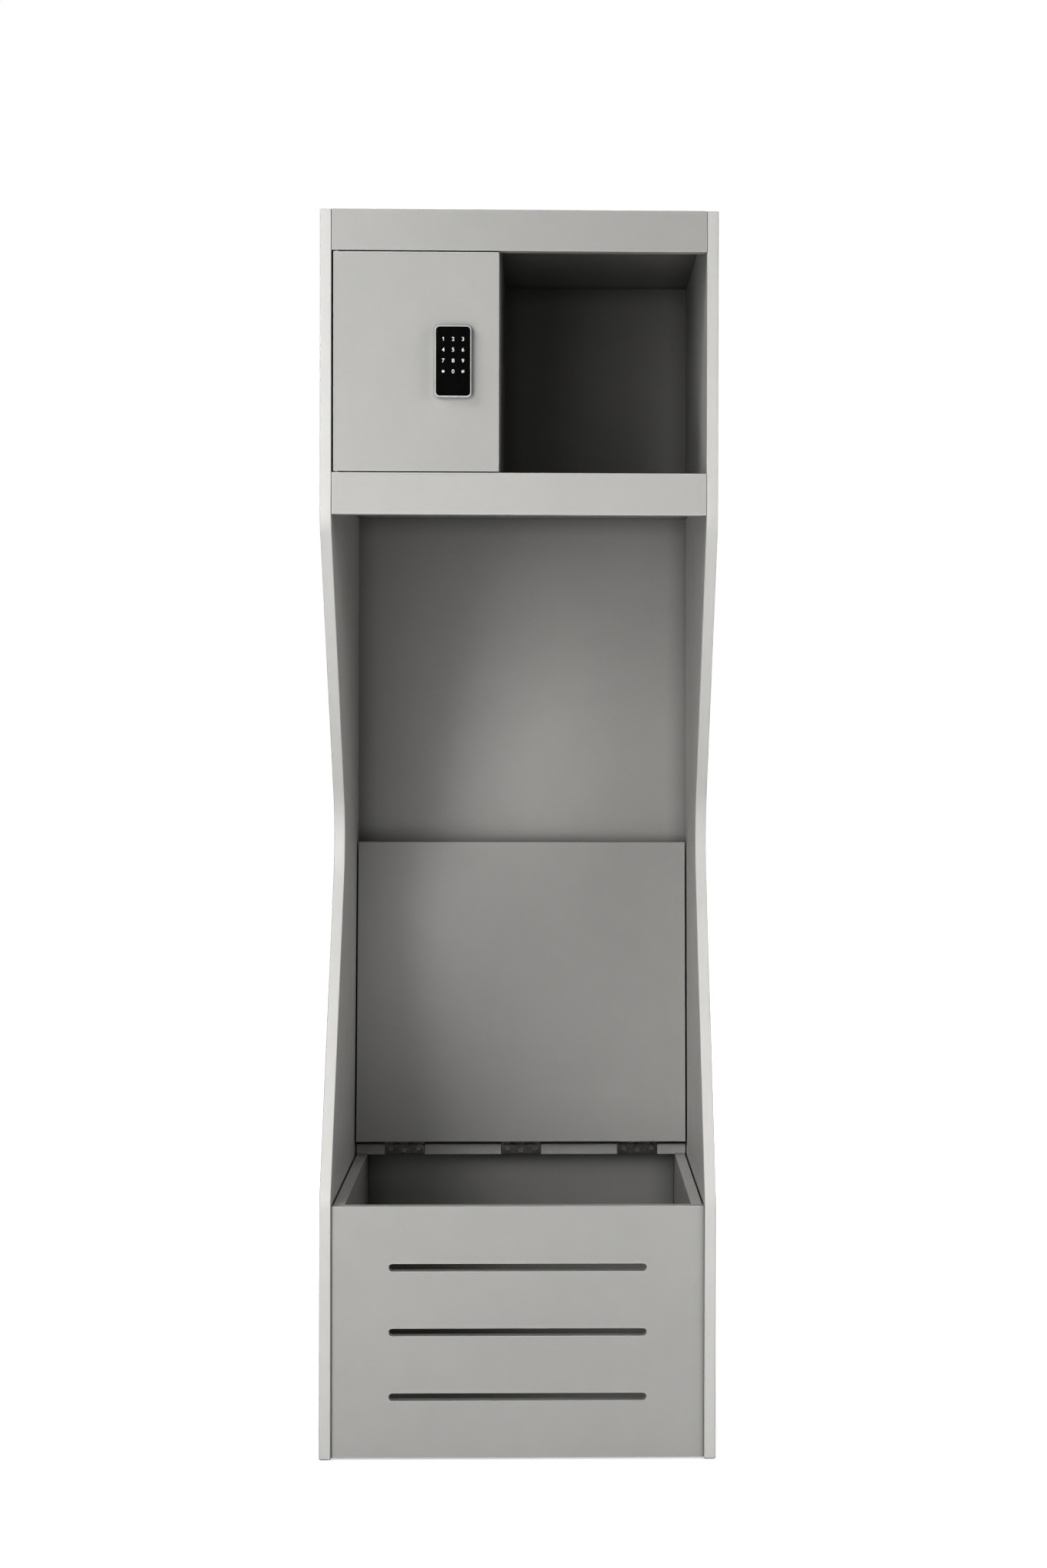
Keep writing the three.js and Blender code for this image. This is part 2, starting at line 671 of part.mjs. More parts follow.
// ---------------------------------------------------------------- bench box
// round-ended slot through the front panel
function slot(z) {
  const ys = [-1, BENCH_FRONT_Y + BOARD + OVER];
  const radius = SLOT_H / 2;
  const endX = SLOT_HALF - radius;
  return join(
    box(around(0, endX), ys, around(z, radius)),
    rod("y", radius, ys, -endX, z, 32),
    rod("y", radius, ys, endX, z, 32),
  );
}
const benchFrontY = [BENCH_FRONT_Y, BENCH_FRONT_Y + BOARD];
add(
  bench,
  "bench_front_panel",
  cut(box(around(0, INSIDE - 0.3), benchFrontY, [2, RIM_Z]), ...SLOT_Z.map(slot)),
  GREY,
);
const benchSideY = [benchFrontY[1], BACK_Y];
const benchInsideX = around(0, BENCH_HALF - BOARD);
add(
  bench,
  "bench_left_side",
  box([-BENCH_HALF, -BENCH_HALF + BOARD], benchSideY, [0, RIM_Z]),
  GREY_SHADE,
);
add(
  bench,
  "bench_right_side",
  box([BENCH_HALF - BOARD, BENCH_HALF], benchSideY, [0, RIM_Z]),
  GREY_SHADE,
);
add(
  bench,
  "bench_back_board",
  box(benchInsideX, [BENCH_BACK_Y, BENCH_BACK_Y + BOARD], [0, RIM_Z]),
  GREY_SHADE,
);
add(
  bench,
  "bench_floor",
  box(benchInsideX, [benchFrontY[1], BENCH_BACK_Y], [18, 30]),
  GREY_SHADE,
);

// ---------------------------------------------------------------- hinge rail
const railProfile = rounded(
  [
    [RAIL_Y, RAIL_Z[0]],
    [BACK_Y, RAIL_Z[0]],
    [BACK_Y, RAIL_Z[1]],
    [RAIL_Y, RAIL_Z[1], EDGE_R],
  ],
  0.4,
);
add(
  bench,
  "hinge_rail",
  cut(
    prismX(railProfile, around(0, RAIL_HALF)),
    ...HINGES.flatMap(({ x, mortiseGap: [leftGap, rightGap] }) => [
      box(
        [x - HINGE_HALF - leftGap, x + HINGE_HALF + rightGap],
        [RAIL_Y - OVER, RAIL_Y + LEAF + FIT],
        widen(RAIL_Z, OVER),
      ),
      ...RAIL_SCREWS.map(([dx, z]) => rod("y", 1.9, [RAIL_Y, RAIL_Y + 18], x + dx, z, 12)),
    ]),
  ),
  GREY,
);

// ---------------------------------------------------------------- lid hinges
// countersink, shank and point of a rail screw, as [radius, y]
const screwProfile = (grow, length) => [
  [3.5 + grow, RAIL_Y + 0.2 - grow / 2],
  [1.75 + grow, RAIL_Y + 1.95 - grow / 2],
  [1.75 + grow, RAIL_Y + length - 3],
  [0, RAIL_Y + length],
];
const railScrew = (x, z) =>
  cut(
    turned([[0, RAIL_Y + 0.2], ...screwProfile(0, 17)], x, z),
    ...crossRecess(x, z, [RAIL_Y - 1, RAIL_Y + 1.5], 2.1, 0.5),
  );
// cutter for the screw's hole, which opens through the leaf's face
const railScrewHole = (x, z) =>
  turned([[0, RAIL_Y - 1], [4, RAIL_Y - 1], [4, RAIL_Y], ...screwProfile(0.12, 20)], x, z);

// a leaf's plate and its knuckles, each a piece of barrel with a neck down to the plate
function leaf(x, plateY, bottomZ, neckShift, numbers, pinY, pinZ) {
  const neckY = plateY.map((y) => y + neckShift);
  const knuckles = numbers.flatMap((number) => {
    const left = x - HINGE_HALF + number * (KNUCKLE + KNUCKLE_GAP);
    const xs = [left, left + KNUCKLE];
    return [
      rod("x", BARREL_R, xs, pinY, pinZ),
      box(xs, neckY, [pinZ - BARREL_R - 1, pinZ]),
    ];
  });
  return cut(
    join(box(around(x, HINGE_HALF), plateY, [bottomZ, pinZ + LEAF_TOP]), join(...knuckles)),
    rod("x", BORE_R, around(x, HINGE_HALF + OVER), pinY, pinZ),
  );
}

for (const { side, x, railKnuckles } of HINGES) {
  const railLeafY = [RAIL_Y, RAIL_Y + LEAF];
  const railLeafZ = RAIL_Z[0] + LEAF_CLEAR;
  add(
    bench,
    `lid_hinge_${side}_rail_leaf`,
    cut(
      leaf(x, railLeafY, railLeafZ, -NECK_SHIFT, railKnuckles, PIN_Y, PIN_Z),
      ...RAIL_SCREWS.map(([dx, z]) => railScrewHole(x + dx, z)),
    ),
    BRONZE,
  );
  add(
    bench,
    `lid_hinge_${side}_pin`,
    rod("x", PIN_R, around(x, HINGE_HALF + 0.4), PIN_Y, PIN_Z),
    BRONZE,
  );
  RAIL_SCREWS.forEach(([dx, z], i) =>
    add(bench, `rail_screw_${side}_${i + 1}`, railScrew(x + dx, z), STEEL),
  );
  const lidKnuckles = [0, 1, 2, 3, 4].filter((number) => !railKnuckles.includes(number));
  const lidLeafZ = LID_Z[0] + LID_WEB + LEAF_CLEAR;
  add(
    lid,
    `lid_hinge_${side}_lid_leaf`,
    cut(
      leaf(x, LID_LEAF_Y, lidLeafZ, NECK_SHIFT, lidKnuckles, 0, 0),
      ...LID_LEAF_HOLES.map(([dx, z]) => rod("y", 2, [-5, 0], x + dx, z, 12)),
    ),
    BRONZE,
  );
}

// ---------------------------------------------------------------- bench lid
const lidProfile = rounded(
  [
    [LID_Y[0], LID_Z[0], LID_LOWER_R],
    [LID_Y[1], LID_Z[0], LID_LOWER_R],
    [LID_Y[1], LID_Z[1], EDGE_R],
    [LID_Y[0], LID_Z[1], EDGE_R],
  ],
  0.4,
);
add(
  lid,
  "bench_lid",
  cut(
    prismX(lidProfile, around(0, LID_HALF)),
    // mortises for the lid leaves
    ...HINGES.map(({ x }) =>
      box(
        around(x, HINGE_HALF + LEAF_CLEAR),
        [LID_LEAF_Y[0] - LEAF_CLEAR, 1],
        [LID_Z[0] + LID_WEB, 0],
      ),
    ),
  ),
  GREY,
);

export default group;
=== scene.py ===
# A tall cabinet with a keypad-locked door and a bench box with a hinged lid.
# Metres, +Z up from the floor. The front faces -Y, and X = 0 is halfway across the width.
import math

import bmesh
import bpy
from mathutils import Matrix, Vector


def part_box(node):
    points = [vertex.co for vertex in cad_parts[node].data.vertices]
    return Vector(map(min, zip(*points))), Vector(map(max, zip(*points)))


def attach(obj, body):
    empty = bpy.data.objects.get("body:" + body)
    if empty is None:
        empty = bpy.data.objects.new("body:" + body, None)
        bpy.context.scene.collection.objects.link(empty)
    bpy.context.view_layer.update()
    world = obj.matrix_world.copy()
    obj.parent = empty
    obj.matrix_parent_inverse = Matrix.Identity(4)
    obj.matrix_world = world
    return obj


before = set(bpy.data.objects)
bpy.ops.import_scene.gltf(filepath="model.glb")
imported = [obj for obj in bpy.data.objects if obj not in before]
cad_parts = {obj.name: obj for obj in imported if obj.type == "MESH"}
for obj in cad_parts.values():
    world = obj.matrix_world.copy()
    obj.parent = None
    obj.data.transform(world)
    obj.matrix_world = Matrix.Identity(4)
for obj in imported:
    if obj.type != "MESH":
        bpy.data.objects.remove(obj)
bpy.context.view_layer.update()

MM = 0.001
scene = bpy.context.scene


# ------------------------------------------------------------------ shader building
class Shader:
    """A material around one Principled node; most methods add a node and return its output."""

    def __init__(self, name):
        self.material = bpy.data.materials.new(name)
        self.material.use_nodes = True
        self.tree = self.material.node_tree
        self.tree.nodes.clear()
        output = self.node("OutputMaterial")
        self.surface = self.node("BsdfPrincipled")
        self.tree.links.new(self.surface.outputs[0], output.inputs["Surface"])
        self.coord = self.node("TexCoord").outputs["Object"]

    def node(self, kind):
        return self.tree.nodes.new("ShaderNode" + kind)

    def put(self, socket, value):
        """Link or set an input; None leaves it alone, and a colour gets its alpha."""
        if value is None:
            return
        if isinstance(value, bpy.types.NodeSocket):
            self.tree.links.new(value, socket)
        elif isinstance(value, tuple) and len(value) == 3 and len(socket.default_value) == 4:
            socket.default_value = (*value, 1.0)
        else:
            socket.default_value = value

    def math(self, operation, first, second=None):
        node = self.node("Math")
        node.operation = operation
        self.put(node.inputs[0], first)
        self.put(node.inputs[1], second)
        return node.outputs[0]

    def times(self, product, *factors):
        for factor in factors:
            product = self.math("MULTIPLY", product, factor)
        return product

    def measure(self, operation, first, second=None):
        """Vector maths with a plain number as its result."""
        node = self.node("VectorMath")
        node.operation = operation
        self.put(node.inputs[0], first)
        self.put(node.inputs[1], second)
        return node.outputs[1]

    def tint(self, color, factor):
        """Colour multiplied by a number."""
        node = self.node("VectorMath")
        node.operation = "SCALE"
        self.put(node.inputs[0], color)
        self.put(node.inputs["Scale"], factor)
        return node.outputs[0]

    def mapped(self, location=(0.0, 0.0, 0.0), scale=(1.0, 1.0, 1.0)):
        node = self.node("Mapping")
        self.put(node.inputs["Vector"], self.coord)
        node.inputs["Location"].default_value = location
        node.inputs["Scale"].default_value = scale
        return node.outputs[0]

    def noise(self, scale, detail=2.0, roughness=0.5, vector=None, distortion=0.0):
        node = self.node("TexNoise")
        self.put(node.inputs["Vector"], vector or self.coord)
        node.inputs["Scale"].default_value = scale
        node.inputs["Detail"].default_value = detail
        node.inputs["Roughness"].default_value = roughness
        node.inputs["Distortion"].default_value = distortion
        return node.outputs["Fac"]

    def cells(self, scale, vector, feature="F1"):
        """Voronoi node, for its Distance and Color outputs."""
        node = self.node("TexVoronoi")
        node.feature = feature
        self.put(node.inputs["Vector"], vector)
        node.inputs["Scale"].default_value = scale
        return node

    def fit(self, value, low, high, to_low=0.0, to_high=1.0):
        """Clamped map from low..high to to_low..to_high."""
        node = self.node("MapRange")
        node.clamp = True
        self.put(node.inputs["Value"], value)
        self.put(node.inputs["From Min"], low)
        self.put(node.inputs["From Max"], high)
        self.put(node.inputs["To Min"], to_low)
        self.put(node.inputs["To Max"], to_high)
        return node.outputs[0]

    def spread(self, noise, low, high):
        """The middle band of a noise, where nearly all its values lie, spread over low..high."""
        return self.fit(noise, 0.3, 0.7, low, high)

    def mask(self, value, off, on):
        """A 0..1 mask turned into off..on."""
        return self.fit(value, 0.0, 1.0, off, on)

    def mix(self, factor, off, on):
        node = self.node("Mix")
        node.data_type = "RGBA"
        # sockets 0, 6, 7 and output 2 are the ones of the colour mode
        self.put(node.inputs[0], factor)
        self.put(node.inputs[6], off)
        self.put(node.inputs[7], on)
        return node.outputs[2]

    def axis(self, vector, letter):
        node = self.node("SeparateXYZ")
        self.put(node.inputs[0], vector)
        return node.outputs[letter]

    def true_normal(self):
        return self.node("NewGeometry").outputs["True Normal"]

    def edges(self, radius, full=0.35):
        """1 on edges and corners, 0 on flat faces; full is the bend that counts as 1."""
        bevel = self.node("Bevel")
        bevel.samples = 4
        bevel.inputs["Radius"].default_value = radius
        agreement = self.measure("DOT_PRODUCT", bevel.outputs[0], self.true_normal())
        return self.fit(self.math("SUBTRACT", 1.0, agreement), 0.02, full)

    def crevice(self, distance, deepest, low=0.35, high=0.95, samples=4):
        """Painted shade: 1 in the open, falling to deepest where other faces close in."""
        node = self.node("AmbientOcclusion")
        node.samples = samples
        node.inputs["Distance"].default_value = distance
        return self.fit(node.outputs["AO"], low, high, deepest, 1.0)

    def bump(self, height, strength, distance):
        node = self.node("Bump")
        self.put(node.inputs["Height"], height)
        node.inputs["Strength"].default_value = strength
        node.inputs["Distance"].default_value = distance
        return node.outputs[0]

    def finish(self, color, roughness, metallic=0.0, normal=None, specular=None,
               emission=None, emission_strength=None):
        values = {
            "Base Color": color,
            "Roughness": roughness,
            "Metallic": metallic,
            "Normal": normal,
            "Specular IOR Level": specular,
            "Emission Color": emission,
            "Emission Strength": emission_strength,
        }
        for name, value in values.items():
            self.put(self.surface.inputs[name], value)
        return self.material


# ------------------------------------------------------------------ materials
PAINT = (0.545, 0.541, 0.529)


def painted(name, color=PAINT, edge_highlight=1.55, cut_edge_highlight=None, seed=0.0,
            corner_reach=0.004, corner_shade=0.55):
    """Satin sprayed paint: slow tonal drift, orange peel, dust nibs, slightly glossier edges
    with a painted highlight, painted shade in the corners.
    """
    s = Shader(name)
    coord = s.mapped(location=(seed, seed * 0.7, seed * 1.3))
    drift = s.noise(scale=2.2, detail=3.0, roughness=0.55, vector=coord)
    cloud = s.noise(scale=23.0, detail=4.0, roughness=0.6, vector=coord)
    # dust nibs under the paint: a dot at the heart of a few cells, under a millimetre across
    dust = s.cells(scale=16.0, vector=coord)
    dot = s.fit(dust.outputs["Distance"], 0.0, 0.0105, 1.0, 0.0)
    cell_color = s.node("SeparateColor")
    s.put(cell_color.inputs[0], dust.outputs["Color"])
    nib = s.times(dot, s.math("GREATER_THAN", cell_color.outputs[0], 0.86))
    edge = s.edges(radius=0.0022)
    gains = [
        s.spread(drift, 0.972, 1.022),
        s.spread(cloud, 0.988, 1.01),
        # painted highlight: the edges lighter
        s.mask(edge, off=1.0, on=edge_highlight),
        s.mask(nib, off=1.0, on=0.62),
    ]
    if cut_edge_highlight:
        # faces that don't look along X are the panel's cut edges; lightening them is a painted
        # highlight
        sideways = s.math("ABSOLUTE", s.axis(s.true_normal(), "X"))
        gains.append(s.fit(sideways, 0.35, 0.75, cut_edge_highlight, 1.0))
    # painted shade in the corners and joints
    gains.append(s.crevice(distance=corner_reach, deepest=corner_shade))
    peel = s.noise(scale=520.0, detail=2.0, roughness=0.6, vector=coord)
    ripple = s.noise(scale=95.0, detail=2.0, roughness=0.5, vector=coord)
    height = s.math("ADD", s.times(peel, 0.35), s.times(ripple, 0.65))
    height = s.math("ADD", height, s.times(nib, 2.0))
    sheen = s.noise(scale=7.0, detail=3.0, roughness=0.6, vector=coord)
    return s.finish(
        color=s.tint(color, s.times(*gains)),
        roughness=s.math("SUBTRACT", s.spread(sheen, 0.425, 0.505), s.times(edge, 0.05)),
        normal=s.bump(height, strength=0.10, distance=0.0006),
        specular=0.5,
    )


def metal(name, color, roughness, grain, edge_highlight, grime=0.55, grime_amount=0.5,
          rim=0.0006, pit=0.5, metallic=1.0):
    """Plated metal: fine drawn lines, painted shade in the recesses, a painted highlight on the
    edges.

    grain stretches the drawn lines along its small axis, rim is the width of the painted edge
    highlight, and pit is the painted shade left in recesses.
    """
    s = Shader(name)
    lines = s.noise(scale=900.0, detail=3.0, roughness=0.6, vector=s.mapped(scale=grain))
    patch = s.noise(scale=160.0, detail=4.0, roughness=0.65)
    dirtiest = 1.0 - grime_amount * (1 - grime)
    cleanest = 1.0 + grime_amount * 0.12
    gain = s.times(
        s.fit(patch, 0.3, 0.72, dirtiest, cleanest),
        s.fit(lines, 0.25, 0.75, 0.93, 1.05),
        # painted highlight along the edges
        s.mask(s.edges(radius=rim, full=0.3), off=1.0, on=edge_highlight),
        # painted shade in the recesses
        s.crevice(distance=0.0018, deepest=pit),
    )
    patchy = s.spread(patch, roughness + 0.08, roughness - 0.04)
    return s.finish(
        color=s.tint(color, gain),
        roughness=s.math("ADD", patchy, s.fit(lines, 0.2, 0.8, -0.03, 0.05)),
        metallic=metallic,
        normal=s.bump(lines, strength=0.12, distance=0.0001),
    )


def touch_glass():
    """Black touch glass: deep gloss with a faint smear of finger marks."""
    s = Shader("keypad_glass_black")
    smear = s.noise(scale=120.0, detail=4.0, roughness=0.7,
                    vector=s.mapped(scale=(1.0, 1.0, 0.45)), distortion=0.6)
    return s.finish(
        color=s.tint((0.0016, 0.0016, 0.0018), s.spread(smear, 0.6, 2.2)),
        roughness=s.fit(smear, 0.35, 0.75, 0.07, 0.2),
        normal=s.bump(s.noise(scale=40.0), strength=0.02, distance=0.0002),
        specular=0.32,
    )


def black_case():
    """Spark-eroded plastic moulding with slightly glossier edges, lightened by a painted
    highlight.
    """
    s = Shader("case_black")
    grain = s.noise(scale=1800.0, detail=2.0, roughness=0.6)
    mottle = s.noise(scale=60.0, detail=3.0, roughness=0.6)
    edge = s.edges(radius=0.0008, full=0.3)
    # the edge gain is a painted highlight
    gain = s.times(s.spread(mottle, 0.9, 1.12), s.mask(edge, off=1.0, on=1.6))
    return s.finish(
        color=s.tint((0.018, 0.018, 0.02), gain),
        roughness=s.math("SUBTRACT", s.spread(grain, 0.44, 0.54), s.times(edge, 0.1)),
        normal=s.bump(grain, strength=0.25, distance=0.00015),
    )


def circuit_board():
    """Green board with paler tracks along the cell borders."""
    s = Shader("circuit_board_green")
    cells = s.cells(scale=260.0, vector=s.mapped(scale=(1.0, 1.0, 0.6)),
                    feature="DISTANCE_TO_EDGE")
    track = s.fit(cells.outputs["Distance"], 0.02, 0.06, 1.0, 0.0)
    green = s.mix(track, off=(0.012, 0.085, 0.032), on=(0.03, 0.17, 0.07))
    mottle = s.noise(scale=70.0, detail=3.0)
    return s.finish(
        color=s.tint(green, s.spread(mottle, 0.85, 1.15)),
        roughness=s.mask(track, off=0.5, on=0.32),
        normal=s.bump(track, strength=0.3, distance=0.0001),
    )


def battery_wrap():
    """Two-tone shrink wrap, with bare steel at the ends of both batteries."""
    s = Shader("battery_wrap_plain")
    height = s.axis(s.coord, "Z")

    def zone(above_bottom, below_top):
        """1 over the same stretch of each battery."""
        stretches = []
        for name in ("battery_lower", "battery_upper"):
            low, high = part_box(name)
            above = s.math("GREATER_THAN", height, low.z + above_bottom)
            below = s.math("LESS_THAN", height, high.z - below_top)
            stretches.append(s.times(above, below))
        return s.math("MAXIMUM", *stretches)

    wrapped = zone(above_bottom=0.0012, below_top=0.0026)
    copper_band = zone(above_bottom=0.034, below_top=0.0)
    wrap = s.mix(copper_band, off=(0.05, 0.052, 0.06), on=(0.36, 0.20, 0.085))
    color = s.mix(wrapped, off=(0.55, 0.55, 0.55), on=wrap)
    mottle = s.noise(scale=90.0, detail=3.0)
    return s.finish(
        color=s.tint(color, s.spread(mottle, 0.9, 1.08)),
        roughness=s.spread(s.noise(scale=300.0), 0.24, 0.34),
        metallic=s.math("SUBTRACT", 1.0, s.times(wrapped, 0.85)),
        normal=s.bump(s.noise(scale=500.0), strength=0.05, distance=0.0001),
    )


def legend_white():
    """Faintly glowing white of the keypad characters."""
    s = Shader("keypad_legend_white")
    color = s.tint((0.82, 0.83, 0.84), s.spread(s.noise(scale=900.0), 0.85, 1.0))
    return s.finish(
        color=color,
        roughness=0.4,
        normal=s.bump(s.noise(scale=1500.0), strength=0.05, distance=0.00005),
        emission=color,
        emission_strength=0.2,
    )


def lens_grey():
    s = Shader("status_light_lens")
    return s.finish(
        color=s.tint((0.25, 0.26, 0.27), s.spread(s.noise(scale=700.0), 0.8, 1.0)),
        roughness=0.15,
        normal=s.bump(s.noise(scale=2000.0), strength=0.05, distance=0.00005),
    )


def floor_white():
    """Pale floor that runs out to white: soft shadow close to the object, partly real and partly
    painted, none further off.
    """
    s = Shader("studio_floor")
    tone = s.spread(s.noise(scale=1.2, detail=3.0), 0.985, 1.01)
    seen = s.node("LightPath").outputs["Is Camera Ray"]
    # camera-only glow, dimmer close to the object: a painted shade around the base
    glow = s.fit(s.measure("LENGTH", s.coord), 0.30, 1.45, 0.70, 1.1)
    # painted contact shadow where the floor meets the object
    painted_contact_shadow = s.crevice(distance=0.05, deepest=0.86, low=0.45, high=0.98, samples=6)
    return s.finish(
        color=s.tint((0.50, 0.50, 0.50), tone),
        roughness=0.8,
        specular=0.1,
        emission=(1.0, 1.0, 1.0),
        emission_strength=s.times(glow, painted_contact_shadow, seen),
    )


def paint_times(factor):
    return tuple(factor * channel for channel in PAINT)


MATERIALS = {
    # the side panels' cut edges carry a painted highlight
    "side_left": painted("paint_side_left", edge_highlight=1.16, cut_edge_highlight=1.34, seed=1.7),
    "side_right": painted("paint_side_right", edge_highlight=1.16, cut_edge_highlight=1.33, seed=4.1),
    "front": painted("paint_front", seed=8.3),
    # a darker copy of the paint, painted shade on the bench sides' faces, with a painted
    # highlight on their cut edges
    "bench_side": painted("paint_bench_side", paint_times(0.69), edge_highlight=1.5,
                          cut_edge_highlight=1.80, seed=9.9),
    # a lighter copy of the paint, painted light on the hinge rail, with deep painted shade in
    # its corners
    "hinge_rail": painted("paint_hinge_rail", (0.70, 0.695, 0.68), edge_highlight=1.6, seed=9.4,
                          corner_reach=0.0035, corner_shade=0.25),
    # a lighter copy of the paint: painted light on the middle rail
    "cross_rail": painted("paint_cross_rail", paint_times(1.06), seed=11.2),
    "door": painted("paint_door", seed=12.9),
    "bench_front": painted("paint_bench_front", seed=17.3),
    # darker copies of the paint for the inside boards: painted shade, deepened further in their
    # corners
    "inside": painted("paint_inside", (0.38, 0.377, 0.369), edge_highlight=1.25, seed=21.5,
                      corner_reach=0.03, corner_shade=0.5),
    "soffit": painted("paint_soffit", (0.535, 0.531, 0.52), edge_highlight=1.25, seed=22.0,
                      corner_reach=0.03, corner_shade=0.5),
    "ceiling": painted("paint_ceiling", (0.53, 0.526, 0.515), edge_highlight=1.25, seed=22.4,
                       corner_reach=0.05, corner_shade=0.4),
    "bench_box": painted("paint_bench_box", (0.50, 0.497, 0.487), edge_highlight=1.2, seed=23.3,
                         corner_reach=0.045, corner_shade=0.45),
    # a lighter copy of the paint: painted light on the back panel
    "back": painted("paint_back", (0.585, 0.579, 0.566), edge_highlight=1.16, seed=26.1,
                    corner_reach=0.035),
    # a lighter copy of the paint: painted light on the lid
    "lid": painted("paint_lid", (0.575, 0.571, 0.559), edge_highlight=1.5, seed=31.7),
    # the metals carry a painted highlight on their edges and painted shade in their recesses
    "hinge": metal("hinge_plated_dark", (0.31, 0.298, 0.286), roughness=0.43,
                   grain=(0.15, 1, 1), edge_highlight=2.0, grime=0.45, grime_amount=0.6, pit=0.35),
    # a lighter copy of the hinge plating for the lid leaves: painted highlight
    "hinge_painted_light": metal("hinge_plated_painted_light", (0.60, 0.585, 0.565), roughness=0.4,
                        grain=(0.15, 1, 1), edge_highlight=1.6, grime=0.5),
    # strongest painted highlight on the screw rims and deepest painted shade in their recesses
    "screw": metal("screw_plated_dark", (0.44, 0.425, 0.40), roughness=0.36, grain=(1, 1, 1),
                   edge_highlight=4.2, grime=0.4, grime_amount=0.6, rim=0.0009, pit=0.08),
    "zinc": metal("zinc_plated_steel", (0.56, 0.57, 0.575), roughness=0.3,
                  grain=(0.2, 1, 1), edge_highlight=1.25),
    "silver": metal("satin_silver", (0.69, 0.695, 0.692), roughness=0.36, grain=(1, 1, 0.15),
                    edge_highlight=1.25, grime=0.9, grime_amount=0.3, pit=0.7, metallic=0.35),
    "glass": touch_glass(),
    "case": black_case(),
    "circuit": circuit_board(),
    "battery": battery_wrap(),
    "legend": legend_white(),
    "lens": lens_grey(),
}


# ------------------------------------------------------------------ CAD pieces
# piece: material, width of the eased edges in mm, segments across them
LOOKS = {
    "left_side_panel": ("side_left", 2.0, 3),
    "right_side_panel": ("side_right", 2.0, 3),
    "top_panel": ("ceiling", 0.8, 2),
    "top_rail": ("front", 1.6, 3),
    "cabinet_floor": ("soffit", 0.8, 2),
    "middle_rail": ("cross_rail", 1.6, 3),
    "divider_panel": ("inside", 1.0, 2),
    "back_panel": ("back", 0.6, 2),
    "bench_front_panel": ("bench_front", 1.6, 3),
    "bench_left_side": ("bench_side", 1.2, 3),
    "bench_right_side": ("bench_side", 1.2, 3),
    "bench_back_board": ("bench_box", 1.2, 3),
    "bench_floor": ("bench_box", 0.6, 2),
    "hinge_rail": ("hinge_rail", 0.9, 3),
    "bench_lid": ("lid", 1.0, 3),
    "cabinet_door": ("door", 1.5, 3),
    "keypad_bezel": ("silver", 0.48, 4),
    "keypad_touch_panel": ("glass", 0.3, 3),
    "keypad_circuit_board": ("circuit", 0.1, 2),
    "lock_rear_case": ("case", 0.6, 3),
    "battery_cover": ("case", 0.3, 2),
    "battery_lower": ("battery", 0.35, 3),
    "battery_upper": ("battery", 0.35, 3),
    "latch_bolt": ("zinc", 0.3, 2),
    "latch_crank": ("zinc", 0.2, 2),
    "latch_motor": ("zinc", 0.3, 2),
    "strike_plate": ("zinc", 0.25, 2),
}


def look_of(name):
    if name in LOOKS:
        return LOOKS[name]
    if name.startswith("lid_hinge_"):
        # the lid leaves take the lighter copy of the plating, a painted highlight
        material = "hinge_painted_light" if name.endswith("lid_leaf") else "hinge"
        return material, 0.0 if name.endswith("_leaf") else 0.22, 3
    if name.startswith("rail_screw_"):
        return "screw", 0.12, 2
    return "zinc", 0.0 if name == "door_hinge_lower_frame_blade" else 0.15, 2


def dress(piece, material, ease_mm, segments):
    """Material, eased edges and smooth shading, all without moving the piece's own vertices."""
    mesh = piece.data
    mesh.materials.clear()
    mesh.materials.append(MATERIALS[material])
    if "custom_normal" in mesh.attributes:
        mesh.attributes.remove(mesh.attributes["custom_normal"])
    mesh.polygons.foreach_set("use_smooth", [True] * len(mesh.polygons))
    mesh.polygons.foreach_set("material_index", [0] * len(mesh.polygons))
    weld = piece.modifiers.new("weld", "WELD")
    weld.merge_threshold = 6e-5 if piece.name.startswith("strike_") else 2e-6
    flat = piece.modifiers.new("flat", "DECIMATE")
    flat.decimate_type = "DISSOLVE"
    flat.angle_limit = math.radians(0.4)
    if ease_mm > 0:
        ease = piece.modifiers.new("ease", "BEVEL")
        ease.width = ease_mm * MM
        ease.segments = segments
        ease.limit_method = "ANGLE"
        ease.angle_limit = math.radians(34)
        ease.use_clamp_overlap = True
        ease.miter_outer = "MITER_ARC"
    shade = piece.modifiers.new("shade", "WEIGHTED_NORMAL")
    shade.mode = "FACE_AREA"
    shade.weight = 60
    shade.keep_sharp = False


for name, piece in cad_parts.items():
    dress(piece, *look_of(name))


def mesh_object(name, build, material, rounded=True):
    """Object from a bmesh; a rounded one gets outward normals and smooth shading."""
    if rounded:
        bmesh.ops.recalc_face_normals(build, faces=build.faces)
    mesh = bpy.data.meshes.new(name)
    build.to_mesh(mesh)
    build.free()
    mesh.materials.append(MATERIALS[material])
    if rounded:
        mesh.polygons.foreach_set("use_smooth", [True] * len(mesh.polygons))
    made = bpy.data.objects.new(name, mesh)
    scene.collection.objects.link(made)
    return made


# ------------------------------------------------------------------ keypad legends
glass_low, glass_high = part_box("keypad_touch_panel")
glass_middle = (glass_low + glass_high) / 2
glass_front = glass_low.y
COLUMN_X = [glass_middle.x + offset * MM for offset in (-15.1, 0.0, 15.0)]
ROW_Z = [glass_middle.z + offset * MM for offset in (33.8, 17.4, 0.7, -15.7)]
DIGIT_HEIGHT = 6.2 * MM
DIGIT_WIDENING = 1.1
DIGIT_SINK = 0.02 * MM  # shift of the digits' mid-depth in front of the glass
FONT_SIZE = 8.2 * MM
FONT_DEPTH = 0.16 * MM
FONT_THICKENING = 0.16 * MM
STROKE_FRONT = glass_front - 0.10 * MM
STROKE_BACK = glass_front + 0.06 * MM
